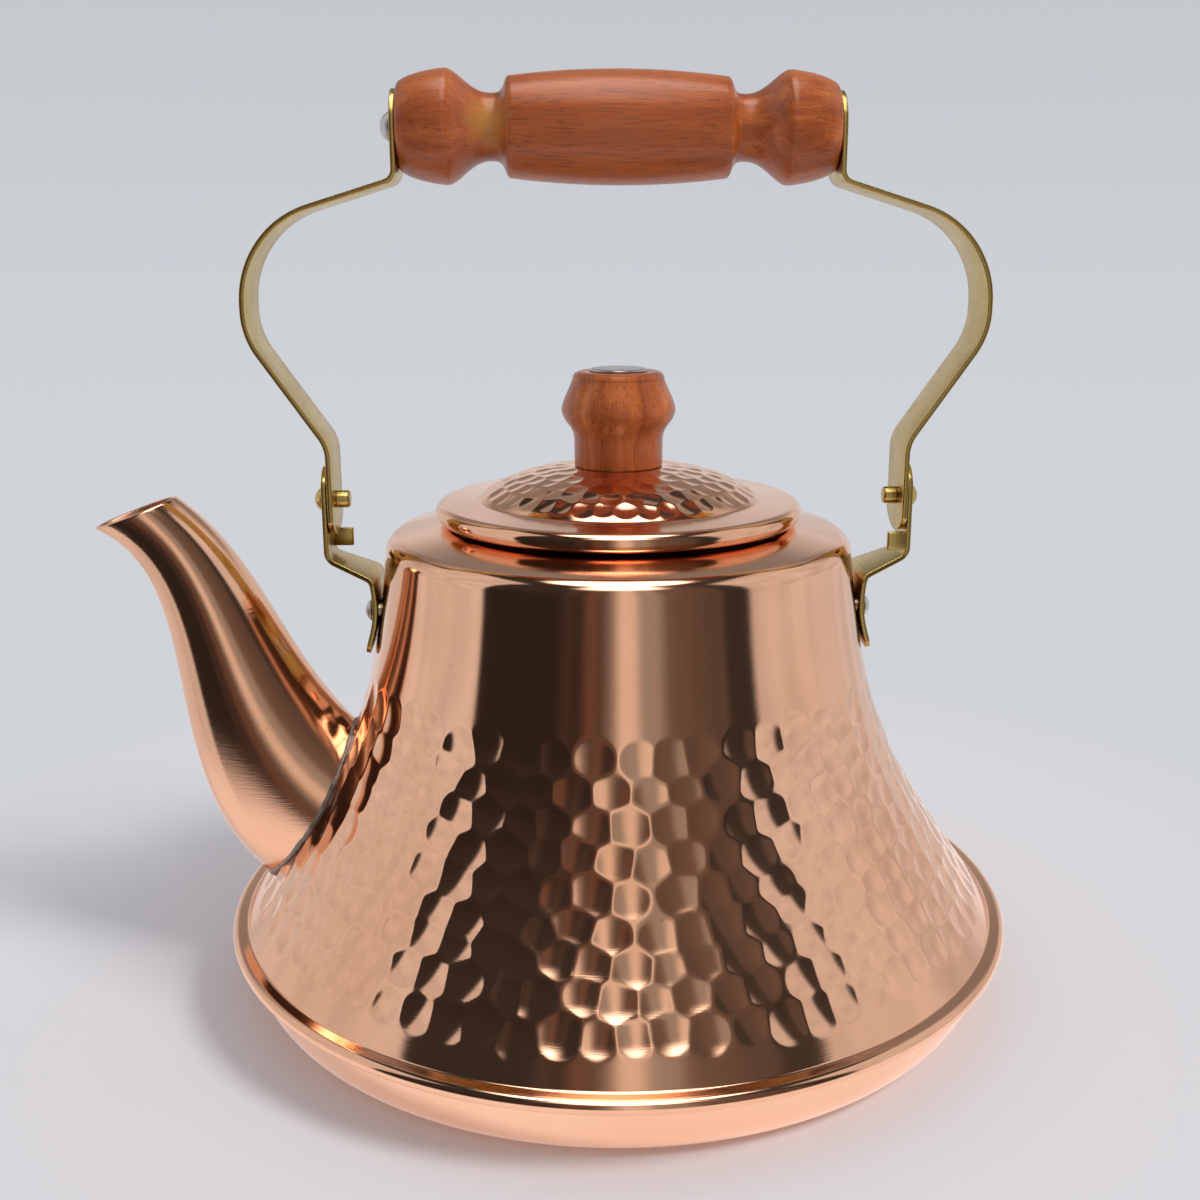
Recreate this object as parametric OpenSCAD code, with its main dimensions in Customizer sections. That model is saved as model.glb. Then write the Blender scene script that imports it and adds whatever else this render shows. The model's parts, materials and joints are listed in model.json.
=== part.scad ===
// Copper kettle with a swinging brass bail, a turned wooden grip and a lift-off lid.
// Millimetres, +Z up. The origin is the centre of the base's underside, the spout
// points along -X, and the bail swings about an axis parallel to X.

/* [Body] */
// Outer radius of the rolled seam, the widest point
rim_r = 100; // [96:0.5:104]
// Height of the middle of the rolled seam above the table
rim_z = 17; // [16:0.5:19]
// Height of the shoulder at the mouth
shoulder_z = 119.2; // [117:0.2:121]
// Degrees that the shoulder falls away from the mouth
shoulder_fall = 11; // [8:0.5:13]
// Radius of the body just under the shoulder
neck_r = 57.8; // [56:0.2:59.6]
// Inner radius of the mouth
mouth_r = 38.5; // [37:0.5:40]
// Thickness of the copper sheet of the body, the lid and the spout
sheet = 1.1; // [0.9:0.1:1.2]
// Thickness of the base pan
pan_sheet = 1.2; // [1:0.1:1.2]
// Radius of the flat underside
base_r = 84; // [78:1:86]

/* [Spout] */
// How far the lip's point lies from the body's axis
spout_reach = 129.5; // [126:0.5:133]
// Height of the lip's point
spout_top = 116.8; // [113:0.2:120]
// Half the spout's width across Y at its foot
spout_foot_w = 17.5; // [15:0.5:19]
// Half the spout's width across Y at its lip
spout_lip_w = 8.6; // [7:0.2:10]
// Radius of the port that joins the body to the spout
port_r = 13; // [10:0.5:14]
// Width of the solder line round the spout's foot
solder_w = 0.9; // [0.6:0.1:1.4]

/* [Lid] */
// Outer radius of the lid's curled rim
lid_r = 45.4; // [44:0.2:47]
// Radius of the curl
curl_r = 2.3; // [2:0.1:2.5]
// Radius of the hammered dome's foot
dome_r = 35.1; // [33:0.2:36]
// Height of the dome above the curl
dome_h = 8.3; // [7:0.1:10]
// How far the lid's collar reaches down into the mouth
collar_drop = 8; // [5:0.5:10]

/* [Knob] */
// Radius of the knob's foot
knob_foot_r = 10.9; // [10:0.1:12]
// Greatest radius of the knob
knob_r = 14; // [13:0.1:15]
// Height of the wooden knob
knob_h = 23.2; // [21:0.2:25]

/* [Bail] */
// Height of the pivots that the bail swings on
pivot_z = 123.4; // [122.6:0.1:124.4]
// Height of the grip's centre line
grip_z = 211; // [208:0.5:214]
// Half the length of the wooden grip
grip_half = 51.3; // [49:0.1:53]
// Greatest radius of the grip's barrel
grip_r = 13; // [12:0.1:14]
// Width of the brass straps
strap_w = 17; // [16:0.5:18]
// Thickness of the brass straps
strap_t = 1.2; // [1:0.1:1.4]
// Half the greatest width of the bail
bail_reach = 88.9; // [86:0.5:92]
// Half the distance between the straps' outer faces at the pivots
strap_foot_x = 70.9; // [70:0.1:71.6]

/* [Ears] */
// Thickness of the ears
ear_t = 1.2; // [1:0.1:1.3]
// Width of an ear where it lies on the body
ear_w = 20; // [18:0.5:22]
// Height of the two rivets that hold an ear
ear_rivet_z = 96.2; // [95:0.1:97]
// Distance from an ear's centre line to each of its rivets
ear_rivet_y = 5; // [4.5:0.1:6]

/* [Hidden] */

COPPER = "#c98262";
SOLDER = "#8f8a86";
BRASS = "#c8b273";
STEEL = "#a9a9a9";
WOOD = "#7c3a20";

FINE = 64;               // facets asked of round parts, all of them true circles
ARC_STEPS = 6;           // steps in each rounded corner of an outline
BEZIER_STEPS = 26;       // steps in each long curve of an outline
FAR = 300;               // longer than the whole kettle
GAP = 0.05;              // running clearance of pins and washers
LOOSE = 0.6;             // clearance of the lid's collar in the mouth
LID_REST = 0.12;         // gap that the lid's curl keeps above the shoulder

// ---- outlines ----

function unit(v) = v / norm(v);
function left_of(v) = [-v.y, v.x];

// Points on a cubic Bezier curve with the four control points p
function bezier(p, steps) = [
    for (i = [0:steps]) let (t = i / steps, s = 1 - t)
        s * s * s * p[0] + 3 * s * s * t * p[1] + 3 * s * t * t * p[2] + t * t * t * p[3]
];

function arc(c, r, from, to, steps = ARC_STEPS) = [
    for (i = [0:steps]) let (a = from + (to - from) * i / steps) c + r * [cos(a), sin(a)]
];

// The arc of radius r that rounds corner b between a and c
function corner(a, b, c, r) =
    let (
        u = unit(a - b), v = unit(c - b),
        half = acos(u * v) / 2,
        centre = b + unit(u + v) * r / sin(half),
        p = b + u * r / tan(half) - centre,
        q = b + v * r / tan(half) - centre,
        side = sign(p.x * q.y - p.y * q.x)
    )
    [for (i = [0:ARC_STEPS])
        let (turn = side * (180 - 2 * half) * i / ARC_STEPS)
            centre + [p.x * cos(turn) - p.y * sin(turn), p.x * sin(turn) + p.y * cos(turn)]];

// A path through [x, y, radius] points, its inner corners rounded
function rounded(points) = [
    for (i = [0:len(points) - 1])
        let (p = points[i], at = [p.x, p.y])
            each (i == 0 || i == len(points) - 1 || p[2] == 0) ? [at]
                : corner([points[i - 1].x, points[i - 1].y], at, [points[i + 1].x, points[i + 1].y], p[2])
];

// The path moved sideways by d, to the left of its direction when d is positive
function shifted(path, d) = [
    for (i = [0:len(path) - 1])
        let (
            before = unit(path[max(i, 1)] - path[max(i, 1) - 1]),
            after = unit(path[min(i + 1, len(path) - 1)] - path[min(i + 1, len(path) - 1) - 1]),
            side = unit(left_of(before + after))
        )
        path[i] + side * d / (side * left_of(before))
];

function reversed(path) = [for (i = [len(path) - 1:-1:0]) path[i]];

// The outline of a sheet of the given thickness bent along a path
function sheet_outline(path, thickness) =
    concat(shifted(path, thickness / 2), reversed(shifted(path, -thickness / 2)));

// ---- small solids ----

module rod_x(r, x0, x1, y = 0, z = 0)
    translate([x0, y, z]) rotate([0, 90, 0]) cylinder(r = r, h = x1 - x0, $fn = FINE);

module ring_x(outer, inner, x0, x1, z)
    difference() {
        rod_x(outer, x0, x1, 0, z);
        rod_x(inner, x0 - 1, x1 + 1, 0, z);
    }

// A turned piece with its axis along X, from an outline of [radius, x] points
module turned_x(outline, y = 0, z = 0)
    translate([0, y, z]) rotate([0, 90, 0]) rotate_extrude($fn = FINE) polygon(outline);

// Outline of a dome of radius r and height h on a seat at x0, from its edge to its top
function dome(r, h, x0) =
    let (ball = (r * r + h * h) / (2 * h), edge = asin(min(1, r / ball)))
    arc([0, x0 + h - ball], ball, 90 - edge, 90);

// Everything on the right is turned half round the kettle to make its left-hand twin
module on_side(side) rotate([0, 0, side == "left" ? 180 : 0]) children();

// ---- body ----

seam_r = sheet + pan_sheet / 2;                  // radius of the rolled seam, outside
fold_r = seam_r - sheet / 2;                     // the same at the middle of the sheet
fold_c = [rim_r - seam_r, rim_z];                // centre of the fold
foot_p = [rim_r - 4.4, rim_z + 2.6];             // end of the flared wall
neck_p = [neck_r, shoulder_z - 6.4];             // start of the flared wall
wall_curve = [neck_p, [neck_r + 4.2, 66.6], [rim_r - 27.6, 52], foot_p];
shoulder_bend = 4;
foot_bend = 1.4;
mouth_bend = 1.8;
mouth_drop = 5;
lip_len = 1.5;                                   // how far the fold reaches back under the pan

// Where the straight line from p through q reaches the height z
function at_height(p, q, z) = [p.x + (q.x - p.x) * (z - p.y) / (q.y - p.y), z];

// The middle of the body's sheet from the mouth's turned-down edge to the folded seam
function body_path() =
    let (
        wall = shifted(bezier(wall_curve, BEZIER_STEPS), -sheet / 2),
        last = len(wall) - 1,
        top = shoulder_z - sheet / 2,
        flange = rim_z + fold_r,
        mouth = mouth_r + sheet / 2,
        neck_corner = at_height(wall[0], wall[1], top - tan(shoulder_fall) * (neck_r - mouth_r)),
        foot_corner = at_height(wall[last], wall[last - 1], flange)
    )
    concat(
        rounded([[mouth, shoulder_z - mouth_drop, 0], [mouth, top, mouth_bend],
                 [neck_corner.x, neck_corner.y, shoulder_bend], [wall[1].x, wall[1].y, 0]]),
        [for (i = [2:last - 1]) wall[i]],
        corner(wall[last - 1], foot_corner, [fold_c.x, flange], foot_bend),
        arc(fold_c, fold_r, 90, -90, 10),
        [[fold_c.x - lip_len, rim_z - fold_r]]
    );

// The solid that the body's outside encloses, grown by a margin
module body_envelope(grow = 0) {
    wall = shifted(bezier(wall_curve, BEZIER_STEPS), grow);
    rotate_extrude($fn = FINE) polygon(concat([[0, rim_z - 6]], [[0, neck_p.y]], wall,
        [[wall[len(wall) - 1].x + 3, rim_z - 6]]));
}

// Radius of the body's outside at a height between the seam and the shoulder
wall_outside = bezier(wall_curve, BEZIER_STEPS);
function wall_r(z) = lookup(-z, [for (p = wall_outside) [-p.y, p.x]]);

port_z = 45;                                     // height of the port's centre at the wall
port_tilt = 33;                                  // the port points this far above level

module port()
    translate([-wall_r(port_z), 0, port_z]) rotate([0, -90 + port_tilt, 0])
        cylinder(r = port_r, h = 40, center = true, $fn = FINE);

module ear_rivet_holes(grow = 0)
    for (side = ["left", "right"], y = [-1, 1]) on_side(side)
        rod_x(rivet_r + grow, neck_r - 6, strap_foot_x - 2, y * ear_rivet_y, ear_rivet_z);

module body_shell() color(COPPER) difference() {
    rotate_extrude($fn = FINE) polygon(sheet_outline(body_path(), sheet));
    port();
    ear_rivet_holes(GAP / 2);
}

pan_side = [[base_r, 0], [base_r + 7, 0], [rim_r - 4.4, 5], [rim_r - 3.4, rim_z - seam_r]];
pan_bend = 0.8;

module base_pan() color(COPPER) {
    side = shifted(bezier(pan_side, BEZIER_STEPS), pan_sheet / 2);
    last = len(side) - 1;
    turn = at_height(side[last - 1], side[last], rim_z);
    path = concat([[0, pan_sheet / 2]], [for (i = [0:last - 1]) side[i]],
        corner(side[last - 1], turn, [fold_c.x, rim_z], pan_bend), [[fold_c.x - 0.1, rim_z]]);
    rotate_extrude($fn = FINE) intersection() {
        polygon(sheet_outline(path, pan_sheet));
        square(FAR);
    }
}

// ---- spout ----

// Rails that the spout's outer (left) and inner (right) outlines follow, as [x, z] points
outer_rail = [[-86.5, 21.5], [-124, 45.6], [-spout_reach + 30.3, spout_top - 13.7], [-spout_reach, spout_top]];
inner_rail = [[-60, 57.5], [-85.5, 78.7], [-spout_reach + 42.5, spout_top - 9.4],
              [-spout_reach + 20.1, spout_top + 7.4]];
SPOUT_RINGS = 22;
SPOUT_SIDES = 24;

function on_rail(p, t) = let (s = 1 - t)
    s * s * s * p[0] + 3 * s * s * t * p[1] + 3 * s * t * t * p[2] + t * t * t * p[3];
function spout_w(t) = spout_foot_w + (spout_lip_w - spout_foot_w) * (1.45 * t - 0.45 * t * t);

// A point of the spout's surface, grown by a margin: t runs along it and a round it
function spout_point(t, a, grow) =
    let (
        o = on_rail(outer_rail, t), i = on_rail(inner_rail, t),
        mid = (o + i) / 2, out = unit(o - i), half = norm(o - i) / 2 + grow
    )
    [mid.x + out.x * half * cos(a), (spout_w(t) + grow) * sin(a), mid.y + out.y * half * cos(a)];

// The closed spout form, from t0 to t1
module spout_form(grow = 0, t0 = 0, t1 = 1) {
    points = [for (k = [0:SPOUT_RINGS], j = [0:SPOUT_SIDES - 1])
        spout_point(t0 + (t1 - t0) * k / SPOUT_RINGS, 360 * j / SPOUT_SIDES, grow)];
    walls = [for (k = [0:SPOUT_RINGS - 1], j = [0:SPOUT_SIDES - 1])
        let (n = (j + 1) % SPOUT_SIDES, low = k * SPOUT_SIDES, high = low + SPOUT_SIDES)
            [low + j, low + n, high + n, high + j]];
    foot = [for (j = [SPOUT_SIDES - 1:-1:0]) j];
    tip = [for (j = [0:SPOUT_SIDES - 1]) SPOUT_RINGS * SPOUT_SIDES + j];
    polyhedron(points = points, faces = concat(walls, [foot, tip]), convexity = 6);
}

module spout() color(COPPER) difference() {
    spout_form();
    spout_form(-sheet, -0.03, 1.03);
    body_envelope(0);
}

module spout_solder() color(SOLDER) difference() {
    intersection() {
        spout_form(solder_w, 0, 0.5);
        body_envelope(solder_w);
    }
    spout_form();
    body_envelope(0);
}

// ---- lid ----

// The curl's centre: it rests on the sloping shoulder
curl_c = [lid_r - curl_r, shoulder_z - tan(shoulder_fall) * (lid_r - curl_r - mouth_r)
          + (curl_r + LID_REST) / cos(shoulder_fall)];
curl_mid = curl_r - sheet / 2;
curl_top = curl_c.y + curl_r;
dome_top = curl_top + dome_h;
dome_curve = [[dome_r, curl_top + 0.5], [dome_r - 5.6, curl_top + 0.65 * dome_h],
              [dome_r - 14, dome_top - 0.7], [knob_foot_r + 1, dome_top]];
bolt_r = 2.5;

module lid_cover() color(COPPER) {
    dome = shifted(reversed(bezier(dome_curve, BEZIER_STEPS)), -sheet / 2);
    last = len(dome) - 1;
    path = concat(
        [[bolt_r + GAP, dome_top - sheet / 2]],
        [for (i = [0:last]) dome[i]],
        [[curl_c.x, curl_c.y + curl_mid]],
        [for (p = arc(curl_c, curl_mid, 90, -150, 16)) if (p.y < curl_c.y + curl_mid) p]
    );
    rotate_extrude($fn = FINE) polygon(sheet_outline(path, sheet));
}

collar_r = mouth_r - LOOSE;                      // outside of the collar
collar_t = 0.9;
collar_top = curl_top + 0.32 - sheet;            // meets the underside of the lid's flat

module lid_collar() color(COPPER) rotate_extrude($fn = FINE)
    translate([collar_r - collar_t, shoulder_z - collar_drop])
        square([collar_t, collar_top - shoulder_z + collar_drop - GAP]);

// ---- knob ----

knob_top = dome_top + knob_h;
bolt_head_r = 7;
bolt_head_h = 0.7;
washer_r = 6;
washer_t = 0.8;
nut_r = 4.6;
nut_h = 3.2;
bolt_hole = bolt_r + GAP;

module lid_knob() color(WOOD) rotate_extrude($fn = FINE) difference() {
    polygon(concat(
        [[0, dome_top]],
        [[knob_foot_r - 0.3, dome_top], [knob_foot_r, dome_top + 0.4]],
        bezier([[knob_foot_r, dome_top + 0.25 * knob_h], [knob_foot_r, dome_top + 0.45 * knob_h],
                [knob_r - 1, dome_top + 0.42 * knob_h], [knob_r, dome_top + 0.58 * knob_h]], 12),
        bezier([[knob_r, dome_top + 0.6 * knob_h], [knob_r, dome_top + 0.68 * knob_h],
                [knob_r - 2, dome_top + 0.82 * knob_h], [knob_r - 2.8, dome_top + 0.93 * knob_h]], 10),
        arc([knob_r - 4.6, knob_top - 1.9], 1.9, 10, 90),
        [[0, knob_top]]
    ));
    square([bolt_hole, FAR]);
}

module knob_bolt() color(STEEL) rotate_extrude($fn = FINE) polygon([
    [0, dome_top - sheet - washer_t - nut_h - 1.2],
    [bolt_r - 0.4, dome_top - sheet - washer_t - nut_h - 1.2],
    [bolt_r, dome_top - sheet - washer_t - nut_h - 0.8],
    [bolt_r, knob_top],
    [bolt_head_r, knob_top],
    [bolt_head_r, knob_top + bolt_head_h / 2],
    [bolt_head_r - 1, knob_top + bolt_head_h],
    [0, knob_top + bolt_head_h]
]);

module knob_washer() color(STEEL) translate([0, 0, dome_top - sheet - washer_t]) difference() {
    cylinder(r = washer_r, h = washer_t - GAP, $fn = FINE);
    translate([0, 0, -1]) cylinder(r = bolt_hole, h = washer_t + 2, $fn = FINE);
}

module knob_nut() color(STEEL) translate([0, 0, dome_top - sheet - washer_t - nut_h]) difference() {
    cylinder(r = nut_r, h = nut_h - GAP, $fn = 6);
    translate([0, 0, -1]) cylinder(r = bolt_hole, h = nut_h + 2, $fn = FINE);
}

// ---- bail ----

rod_r = 2;
pin_r = 1.55;                                    // shank of the pivot rivets
strap_foot_r = 11;                               // the strap's foot ends in an arc of this radius
strap_drop = 8.65;                               // and reaches this far below the pivot
strap_foot_up = strap_foot_r - strap_drop;       // the arc's centre, above the pivot
strap_corner_z = strap_foot_up - sqrt(pow(strap_foot_r, 2) - pow(strap_w / 2, 2));
strap_top_x = grip_half + 0.1;                   // inner face of the strap at the grip
strap_slope = 0.31;                              // fall of the strap's upper arm
strap_lean = 1.456;                              // rise over run of the strap's lower arm

// The middle of the right strap, from its top beside the grip to its foot at the pivot, as [x, z, radius]
module strap_blank() {
    top_x = strap_top_x + strap_t / 2;
    side_x = bail_reach - strap_t / 2;
    foot_x = strap_foot_x - strap_t / 2;
    start_z = grip_z - 11.9;
    hip_z = start_z - strap_slope * (side_x - top_x);
    knee_z = pivot_z + 14;
    waist_z = knee_z + strap_lean * (side_x - foot_x);
    path = rounded([
        [top_x, grip_z + strap_w, 0], [top_x, start_z, 3], [side_x, hip_z, 23],
        [side_x, waist_z, 18], [foot_x, knee_z, 9], [foot_x, pivot_z - strap_w, 0]
    ]);
    translate([0, strap_w / 2, 0]) rotate([90, 0, 0])
        linear_extrude(strap_w) polygon(sheet_outline(path, strap_t));
}

module bail_strap(side) color(BRASS) on_side(side) difference() {
    intersection() {
        strap_blank();
        union() {
            rod_x(strap_w / 2, 0, FAR, 0, grip_z);
            translate([0, -strap_w, pivot_z + strap_foot_up])
                cube([FAR, 2 * strap_w, grip_z - pivot_z - strap_foot_up]);
            rod_x(strap_foot_r, 0, FAR, 0, pivot_z + strap_foot_up);
        }
    }
    rod_x(rod_r + GAP / 2, 0, FAR, 0, grip_z);
    rod_x(pin_r + GAP, 0, FAR, 0, pivot_z);
}

barrel_half = 0.5 * grip_half;                   // half the length of the barrel
barrel_end_r = grip_r - 1.6;
cove_x = 0.58 * grip_half;
cove_r = 7.6;
bulge_x = 0.78 * grip_half;
bulge_r = grip_r;
end_r = grip_r - 2.2;

// Half of the grip's outline, from its middle to its end, as [x, radius]
grip_outline = concat(
    [for (i = [0:10]) let (x = barrel_half * i / 10)
        [x, grip_r - (grip_r - barrel_end_r) * pow(x / barrel_half, 2)]],
    bezier([[barrel_half + 0.5, barrel_end_r - 0.6], [barrel_half + 1.6, cove_r + 0.3],
            [cove_x - 2.2, cove_r], [cove_x, cove_r]], 8),
    bezier([[cove_x + 0.3, cove_r], [cove_x + 4.5, cove_r + 0.2],
            [bulge_x - 3.5, bulge_r - 1.2], [bulge_x - 0.5, bulge_r - 0.05]], 10),
    bezier([[bulge_x + 0.4, bulge_r - 0.02], [bulge_x + 4, bulge_r - 0.3],
            [grip_half - 3, end_r + 0.8], [grip_half - 1.4, end_r - 0.2]], 10),
    arc([grip_half - 1.6, end_r - 1.9], 1.6, 60, 0)
);

module grip() color(WOOD) {
    bore = rod_r + 1.6 * GAP;
    last = len(grip_outline) - 1;
    turned_x(concat(
        [[bore, -grip_half]],
        [for (i = [last:-1:1]) [grip_outline[i].y, -grip_outline[i].x]],
        [for (p = grip_outline) [p.y, p.x]],
        [[bore, grip_half]]
    ), 0, grip_z);
}

rod_seat = strap_top_x + strap_t;                // the rod's heads sit here
rod_head_r = 3.7;
rod_head_h = 3;
peen_r = 3.2;
peen_h = 0.6;

module grip_rod() color(STEEL) turned_x(concat(
    [for (p = reversed(dome(rod_head_r, rod_head_h, rod_seat))) [p.x, -p.y]],
    [[rod_r, -rod_seat], [rod_r, rod_seat]],
    dome(peen_r, peen_h, rod_seat)
), 0, grip_z);

// ---- pivots ----

washer_gap = 0.6;                                // between the strap and the ear
ear_x = strap_foot_x + washer_gap;               // inner face of the ear's upright
pin_head_r = 3.25;
pin_head_h = 2.5;
pin_tail_r = 2.15;
pin_tail = 3.2;
pin_tail_x = strap_foot_x - strap_t - GAP;       // the upset tail starts here

module pivot_rivet(side) color(BRASS) on_side(side) turned_x(concat(
    [[0, pin_tail_x - pin_tail], [pin_tail_r - 0.5, pin_tail_x - pin_tail],
     [pin_tail_r, pin_tail_x - pin_tail + 0.5], [pin_tail_r, pin_tail_x],
     [pin_r, pin_tail_x], [pin_r, ear_x + ear_t]],
    dome(pin_head_r, pin_head_h, ear_x + ear_t)
), 0, pivot_z);

module pivot_washer(side) color(BRASS) on_side(side)
    ring_x(4, pin_r + GAP, strap_foot_x + GAP, ear_x - GAP, pivot_z);

// ---- ears ----

upright_top = 8.2;                               // the upright reaches this far above the pivot
upright_round = 6.2;
stop_angle = 31;                                 // the bail meets its stop tab at this angle
// The corner of the strap's foot swings round the pivot and comes down on the tab's edge
stop_dist = norm([strap_w / 2, strap_corner_z]);
stop_turn = stop_angle + atan2(-strap_corner_z, strap_w / 2);
stop_y = stop_dist * cos(stop_turn);             // inner face of the tab
stop_top = stop_dist * sin(stop_turn);
stop_bottom = 12.9;
stop_reach = 4.6;                                // how far the tab reaches in over the strap's foot
stop_t = 1.4;
upright_w = stop_y + stop_t;                     // half the width of the upright at the stop
ear_bottom = 86.2;
ear_flare = 2.6;                                 // how far the lower end stands away from the body

// The middle of the ear's sheet from its top to its foot, as [x, z, radius]
function ear_path() =
    let (up_x = ear_x + ear_t / 2, on_x = wall_r(ear_rivet_z) + 0.25)
    rounded([[up_x, pivot_z + 12, 0], [up_x, 109.1, 3], [on_x + 0.9, 104.3, 2.4],
             [on_x, 96, 25], [on_x + ear_flare, ear_bottom, 0]]);

// The ear's outline seen along X
module ear_front() {
    translate([0, pivot_z + upright_top - upright_round]) circle(r = upright_round, $fn = FINE);
    polygon([[-upright_round, pivot_z + upright_top - upright_round],
             [-upright_w, pivot_z - stop_top], [-upright_w, 109],
             [-ear_w / 2, 103.5], [-ear_w / 2, ear_bottom + 1.5], [-ear_w / 2 + 1.5, ear_bottom],
             [ear_w / 2 - 1.5, ear_bottom], [ear_w / 2, ear_bottom + 1.5], [ear_w / 2, 103.5],
             [upright_w, 109], [upright_w, pivot_z - stop_top],
             [upright_round, pivot_z + upright_top - upright_round]]);
}

module ear(side) color(BRASS) on_side(side) difference() {
    union() {
        intersection() {
            translate([0, ear_w, 0]) rotate([90, 0, 0])
                linear_extrude(2 * ear_w) polygon(sheet_outline(ear_path(), ear_t));
            rotate([90, 0, 90]) linear_extrude(FAR) ear_front();
        }
        // stop tab, bent in from the front edge of the right ear
        translate([ear_x - stop_reach, -upright_w, pivot_z - stop_bottom])
            cube([stop_reach + ear_t / 2, stop_t, stop_bottom - stop_top]);
    }
    rod_x(pin_r + GAP / 2, 0, FAR, 0, pivot_z);
    for (y = [-1, 1]) rod_x(rivet_r + GAP / 2, 0, FAR, y * ear_rivet_y, ear_rivet_z);
}

// ---- ear rivets ----

rivet_r = 1.6;
rivet_head_r = 2.8;
rivet_head_h = 1.6;
rivet_tail_r = 2.5;
rivet_tail_h = 1.3;

module ear_rivet(side, y) color(STEEL) on_side(side) {
    seat = wall_r(ear_rivet_z) + 0.25 + ear_t + 0.42;
    inner_r = wall_r(ear_rivet_z + rivet_tail_r) - sheet;
    inside = sqrt(pow(inner_r, 2) - pow(ear_rivet_y + rivet_tail_r, 2)) - GAP;
    turned_x(concat(
        [[0, inside - rivet_tail_h], [rivet_tail_r - 0.3, inside - rivet_tail_h],
         [rivet_tail_r, inside - rivet_tail_h + 0.3], [rivet_tail_r, inside],
         [rivet_r, inside], [rivet_r, seat]],
        dome(rivet_head_r, rivet_head_h, seat)
    ), y, ear_rivet_z);
}

body_shell();
base_pan();
spout();
spout_solder();
lid_cover();
lid_collar();
lid_knob();
knob_bolt();
knob_washer();
knob_nut();
bail_strap("left");  // bail_strap_left
bail_strap("right");  // bail_strap_right
grip();
grip_rod();
ear("left");  // ear_left
ear("right");  // ear_right
pivot_rivet("left");  // pivot_rivet_left
pivot_rivet("right");  // pivot_rivet_right
pivot_washer("left");  // pivot_washer_left
pivot_washer("right");  // pivot_washer_right
ear_rivet("left", ear_rivet_y);  // ear_rivet_left_front
ear_rivet("left", -ear_rivet_y);  // ear_rivet_left_back
ear_rivet("right", -ear_rivet_y);  // ear_rivet_right_front
ear_rivet("right", ear_rivet_y);  // ear_rivet_right_back
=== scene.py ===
"""Looks of the copper kettle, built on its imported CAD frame.

Lengths are in millimetres, as in the CAD source, and turn to metres when a mesh is made. +Z is up,
the spout points along -X, and the front faces -Y.
"""

import json
import math

import bpy
import numpy as np
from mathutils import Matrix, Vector


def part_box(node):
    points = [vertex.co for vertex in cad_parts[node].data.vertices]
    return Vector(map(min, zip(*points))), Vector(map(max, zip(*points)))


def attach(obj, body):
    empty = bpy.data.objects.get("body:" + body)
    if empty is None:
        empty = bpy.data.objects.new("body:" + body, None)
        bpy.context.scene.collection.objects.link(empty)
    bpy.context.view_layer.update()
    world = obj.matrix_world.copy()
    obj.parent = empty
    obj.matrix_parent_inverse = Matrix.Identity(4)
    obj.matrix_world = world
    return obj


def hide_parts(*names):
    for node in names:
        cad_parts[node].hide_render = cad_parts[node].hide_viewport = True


MM = 0.001
TAU = math.tau

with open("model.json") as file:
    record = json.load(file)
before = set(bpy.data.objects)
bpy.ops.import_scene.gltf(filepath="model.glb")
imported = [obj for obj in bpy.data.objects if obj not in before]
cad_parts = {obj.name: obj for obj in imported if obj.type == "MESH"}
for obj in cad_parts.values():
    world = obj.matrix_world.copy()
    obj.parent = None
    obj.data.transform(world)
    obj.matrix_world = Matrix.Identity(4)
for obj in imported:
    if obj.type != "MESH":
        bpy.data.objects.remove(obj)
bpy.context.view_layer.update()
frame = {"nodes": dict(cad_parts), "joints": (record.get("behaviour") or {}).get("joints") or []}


def box(node):
    """A CAD node's lowest and highest corners, in millimetres."""
    low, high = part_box(node)
    return [c / MM for c in low], [c / MM for c in high]


JOINTS = {j["name"]: j for j in frame["joints"]}
PIVOT_Z = JOINTS["bail_swing"]["pos_m"][2] / MM
GRIP_Z = JOINTS["grip_spin"]["pos_m"][2] / MM

# ---------------------------------------------------------------- outlines


def on_curve(p, t):
    """Points at t, from 0 to 1, of the cubic Bezier curve with four control points."""
    p = np.asarray(p, float)
    t = np.asarray(t, float)[..., None]
    s = 1 - t
    return s**3 * p[0] + 3 * s * s * t * p[1] + 3 * s * t * t * p[2] + t**3 * p[3]


def bezier(p, steps):
    """The same curve as a path with even steps of t."""
    return on_curve(p, np.linspace(0, 1, steps + 1))


def arc(c, r, start, end, steps):
    """Part of a circle, between two angles in degrees."""
    a = np.radians(np.linspace(start, end, steps + 1))
    return np.c_[c[0] + r * np.cos(a), c[1] + r * np.sin(a)]


def corner(a, b, c, r, steps):
    """The arc of radius r that rounds corner b between a and c."""
    a, b, c = (np.asarray(p, float)[:2] for p in (a, b, c))
    u = (a - b) / np.linalg.norm(a - b)
    v = (c - b) / np.linalg.norm(c - b)
    half = math.acos(max(-1, min(1, float(u @ v)))) / 2
    if half > math.pi / 2 - 0.01:
        return b[None]
    centre = b + (u + v) / np.linalg.norm(u + v) * r / math.sin(half)
    p = b + u * r / math.tan(half) - centre
    q = b + v * r / math.tan(half) - centre
    turn = math.copysign(math.pi - 2 * half, p[0] * q[1] - p[1] * q[0])
    a = np.linspace(0, turn, steps + 1)
    return centre + np.c_[p[0] * np.cos(a) - p[1] * np.sin(a), p[0] * np.sin(a) + p[1] * np.cos(a)]


def rounded(points, steps=8, closed=False):
    """A path through (x, y, radius) points, its inner corners rounded."""
    n, out = len(points), []
    for i, p in enumerate(points):
        if p[2] == 0 or (not closed and i in (0, n - 1)):
            out.append(np.array([p[:2]], float))
        else:
            out.append(corner(points[i - 1], p, points[(i + 1) % n], p[2], steps))
    return np.concatenate(out)


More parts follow.
